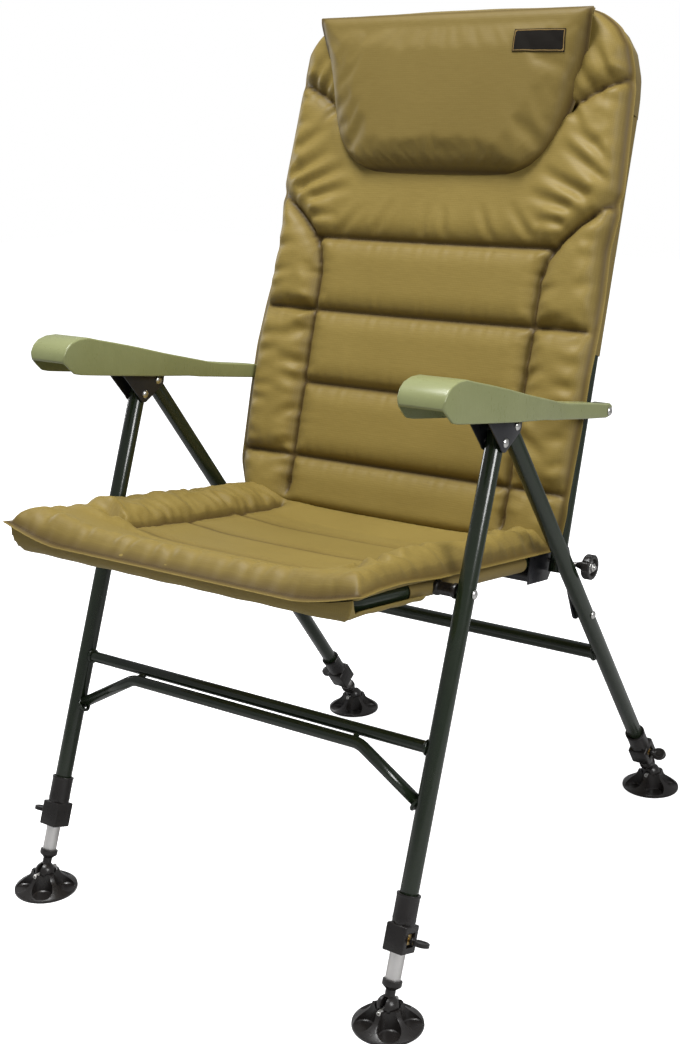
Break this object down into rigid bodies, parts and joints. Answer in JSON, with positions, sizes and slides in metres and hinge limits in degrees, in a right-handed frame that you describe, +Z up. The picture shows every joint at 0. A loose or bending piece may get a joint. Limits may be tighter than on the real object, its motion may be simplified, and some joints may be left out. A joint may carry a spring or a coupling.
{
  "type": "folding reclining fishing chair",
  "caption": "Folding, reclining fishing chair with arms, a quilted seat, back and headrest, and telescopic legs on swivelling round feet.",
  "frame": {"origin": "middle of the footprint of the four feet, on the ground", "axes": "+Z up; the sitter faces -Y; +X to the sitter's left"},
  "size_m": [0.611, 0.787, 1.0865],
  "materials": {
    "dark_green_tube": "gloss, very dark green",
    "green_plastic": "satin moulded olive green",
    "black_plastic": "fine matte",
    "black_steel": "satin black",
    "satin_aluminium": "satin, drawn tube",
    "bright_steel": "bright, lightly brushed",
    "olive_cloth": "olive khaki, fine weave with a slight sheen",
    "sling_cloth": "plain woven tan",
    "label_cloth": "plain dark woven patch"
  },
  "bodies": {
    "front_frame": {"front_leg_left": "dark_green_tube", "front_leg_right": "dark_green_tube", "front_crossbar_upper": "dark_green_tube", "front_crossbar_lower": "dark_green_tube", "clamp_collar_front_left": "black_plastic", "clamp_collar_front_right": "black_plastic", "seat_pivot_spacer_left": "black_plastic", "seat_pivot_spacer_right": "black_plastic", "seat_pivot_rivet_left": "bright_steel", "seat_pivot_rivet_right": "bright_steel"},
    "arms": {"armrest_left": "green_plastic", "armrest_right": "green_plastic", "arm_bracket_left": "black_steel", "arm_bracket_right": "black_steel", "front_leg_rivet_left": "bright_steel", "front_leg_rivet_right": "bright_steel", "rear_leg_rivet_left": "bright_steel", "rear_leg_rivet_right": "bright_steel", "arm_tail_rivet_left": "bright_steel", "arm_tail_rivet_right": "bright_steel"},
    "rear_frame": {"rear_leg_left": "dark_green_tube", "rear_leg_right": "dark_green_tube", "rear_crossbar": "dark_green_tube", "clamp_collar_rear_left": "black_plastic", "clamp_collar_rear_right": "black_plastic", "stay_rivet_left": "bright_steel", "stay_rivet_right": "bright_steel"},
    "seat_frame": {"seat_frame_tube": "dark_green_tube", "seat_hinge_bar": "black_steel", "seat_sling": "sling_cloth", "seat_pad": "olive_cloth"},
    "back_frame": {"back_frame_tube": "dark_green_tube", "back_sling": "sling_cloth", "back_pad": "olive_cloth", "headrest": "olive_cloth", "label_patch": "label_cloth"},
    "stay_left": {"stay_left": "black_steel"},
    "recline_knob_left": {"recline_knob_left": "black_plastic"},
    "inner_leg_front_left": {"inner_leg_front_left": "satin_aluminium", "ball_plug_front_left": "black_plastic"},
    "clamp_screw_front_left": {"clamp_screw_front_left": "black_plastic"},
    "foot_pin_front_left": {"foot_pin_front_left": "bright_steel"},
    "foot_disc_front_left": {"foot_disc_front_left": "black_plastic"},
    "inner_leg_rear_left": {"inner_leg_rear_left": "satin_aluminium", "ball_plug_rear_left": "black_plastic"},
    "clamp_screw_rear_left": {"clamp_screw_rear_left": "black_plastic"},
    "foot_pin_rear_left": {"foot_pin_rear_left": "bright_steel"},
    "foot_disc_rear_left": {"foot_disc_rear_left": "black_plastic"},
    "stay_right": {"stay_right": "black_steel"},
    "recline_knob_right": {"recline_knob_right": "black_plastic"},
    "inner_leg_front_right": {"inner_leg_front_right": "satin_aluminium", "ball_plug_front_right": "black_plastic"},
    "clamp_screw_front_right": {"clamp_screw_front_right": "black_plastic"},
    "foot_pin_front_right": {"foot_pin_front_right": "bright_steel"},
    "foot_disc_front_right": {"foot_disc_front_right": "black_plastic"},
    "inner_leg_rear_right": {"inner_leg_rear_right": "satin_aluminium", "ball_plug_rear_right": "black_plastic"},
    "clamp_screw_rear_right": {"clamp_screw_rear_right": "black_plastic"},
    "foot_pin_rear_right": {"foot_pin_rear_right": "bright_steel"},
    "foot_disc_rear_right": {"foot_disc_rear_right": "black_plastic"}
  },
  "joints": [
    {"name": "arm_fold", "type": "hinge", "parent": "front_frame", "child": "arms", "pos_m": [0, -0.1336, 0.6162], "axis": [-1, 0, 0], "range_deg": [-6, 78.5]},
    {"name": "rear_leg_swing", "type": "hinge", "parent": "arms", "child": "rear_frame", "pos_m": [0, -0.1069, 0.6306], "axis": [1, 0, 0], "range_deg": [-2.4, 27.8]},
    {"name": "seat_swing", "type": "hinge", "parent": "front_frame", "child": "seat_frame", "pos_m": [0, -0.19274, 0.45671], "axis": [-1, 0, 0], "range_deg": [-6.3, 80.3]},
    {"name": "back_fold", "type": "hinge", "parent": "seat_frame", "child": "back_frame", "pos_m": [0, 0.07867, 0.41697], "axis": [1, 0, 0], "range_deg": [-5.4, 68.5], "deforming": ["seat_pad", "back_pad"]},
    {"name": "stay_left_swing", "type": "hinge", "parent": "seat_frame", "child": "stay_left", "pos_m": [0.2522, 0.07867, 0.41697], "axis": [1, 0, 0], "range_deg": [-109.4, 8.6]},
    {"name": "recline_knob_left_turn", "type": "hinge", "parent": "seat_frame", "child": "recline_knob_left", "pos_m": [0.28, 0.07867, 0.41697], "axis": [1, 0, 0], "range_deg": [0, 360]},
    {"name": "leg_length_front_left", "type": "slide", "parent": "front_frame", "child": "inner_leg_front_left", "axis": [0, -0.3477, -0.9376], "range_m": [-0.031, 0.085]},
    {"name": "clamp_screw_front_left_turn", "type": "hinge", "parent": "front_frame", "child": "clamp_screw_front_left", "pos_m": [0.29, -0.3264, 0.09623], "axis": [1, 0, 0], "range_deg": [0, 360]},
    {"name": "ankle_pitch_front_left", "type": "hinge", "parent": "inner_leg_front_left", "child": "foot_pin_front_left", "pos_m": [0.265, -0.353, 0.0245], "axis": [1, 0, 0], "range_deg": [-60, 22]},
    {"name": "ankle_roll_front_left", "type": "hinge", "parent": "foot_pin_front_left", "child": "foot_disc_front_left", "pos_m": [0.265, -0.353, 0.0245], "axis": [0, 1, 0], "range_deg": [-20, 20]},
    {"name": "leg_length_rear_left", "type": "slide", "parent": "rear_frame", "child": "inner_leg_rear_left", "axis": [0, 0.6045, -0.7966], "range_m": [-0.015, 0.105]},
    {"name": "clamp_screw_rear_left_turn", "type": "hinge", "parent": "rear_frame", "child": "clamp_screw_rear_left", "pos_m": [0.29, 0.31643, 0.0727], "axis": [1, 0, 0], "range_deg": [0, 360]},
    {"name": "ankle_pitch_rear_left", "type": "hinge", "parent": "inner_leg_rear_left", "child": "foot_pin_rear_left", "pos_m": [0.265, 0.353, 0.0245], "axis": [1, 0, 0], "range_deg": [-7, 75]},
    {"name": "ankle_roll_rear_left", "type": "hinge", "parent": "foot_pin_rear_left", "child": "foot_disc_rear_left", "pos_m": [0.265, 0.353, 0.0245], "axis": [0, 1, 0], "range_deg": [-20, 20]},
    {"name": "stay_right_swing", "type": "hinge", "parent": "seat_frame", "child": "stay_right", "pos_m": [-0.2522, 0.07867, 0.41697], "axis": [1, 0, 0], "range_deg": [-109.4, 8.6]},
    {"name": "recline_knob_right_turn", "type": "hinge", "parent": "seat_frame", "child": "recline_knob_right", "pos_m": [-0.28, 0.07867, 0.41697], "axis": [-1, 0, 0], "range_deg": [0, 360]},
    {"name": "leg_length_front_right", "type": "slide", "parent": "front_frame", "child": "inner_leg_front_right", "axis": [0, -0.3477, -0.9376], "range_m": [-0.031, 0.085]},
    {"name": "clamp_screw_front_right_turn", "type": "hinge", "parent": "front_frame", "child": "clamp_screw_front_right", "pos_m": [-0.29, -0.3264, 0.09623], "axis": [-1, 0, 0], "range_deg": [0, 360]},
    {"name": "ankle_pitch_front_right", "type": "hinge", "parent": "inner_leg_front_right", "child": "foot_pin_front_right", "pos_m": [-0.265, -0.353, 0.0245], "axis": [1, 0, 0], "range_deg": [-60, 22]},
    {"name": "ankle_roll_front_right", "type": "hinge", "parent": "foot_pin_front_right", "child": "foot_disc_front_right", "pos_m": [-0.265, -0.353, 0.0245], "axis": [0, 1, 0], "range_deg": [-20, 20]},
    {"name": "leg_length_rear_right", "type": "slide", "parent": "rear_frame", "child": "inner_leg_rear_right", "axis": [0, 0.6045, -0.7966], "range_m": [-0.015, 0.105]},
    {"name": "clamp_screw_rear_right_turn", "type": "hinge", "parent": "rear_frame", "child": "clamp_screw_rear_right", "pos_m": [-0.29, 0.31643, 0.0727], "axis": [-1, 0, 0], "range_deg": [0, 360]},
    {"name": "ankle_pitch_rear_right", "type": "hinge", "parent": "inner_leg_rear_right", "child": "foot_pin_rear_right", "pos_m": [-0.265, 0.353, 0.0245], "axis": [1, 0, 0], "range_deg": [-7, 75]},
    {"name": "ankle_roll_rear_right", "type": "hinge", "parent": "foot_pin_rear_right", "child": "foot_disc_rear_right", "pos_m": [-0.265, 0.353, 0.0245], "axis": [0, 1, 0], "range_deg": [-20, 20]}
  ],
  "couplings": [
    {"joint": "rear_leg_swing", "follows": "arm_fold", "ratio": 0.35},
    {"joint": "seat_swing", "follows": "arm_fold", "ratio": 1.02},
    {"joint": "back_fold", "follows": "arm_fold", "ratio": 0.87},
    {"joint": "stay_left_swing", "follows": "arm_fold", "ratio": -1.389},
    {"joint": "stay_right_swing", "follows": "arm_fold", "ratio": -1.389}
  ]
}
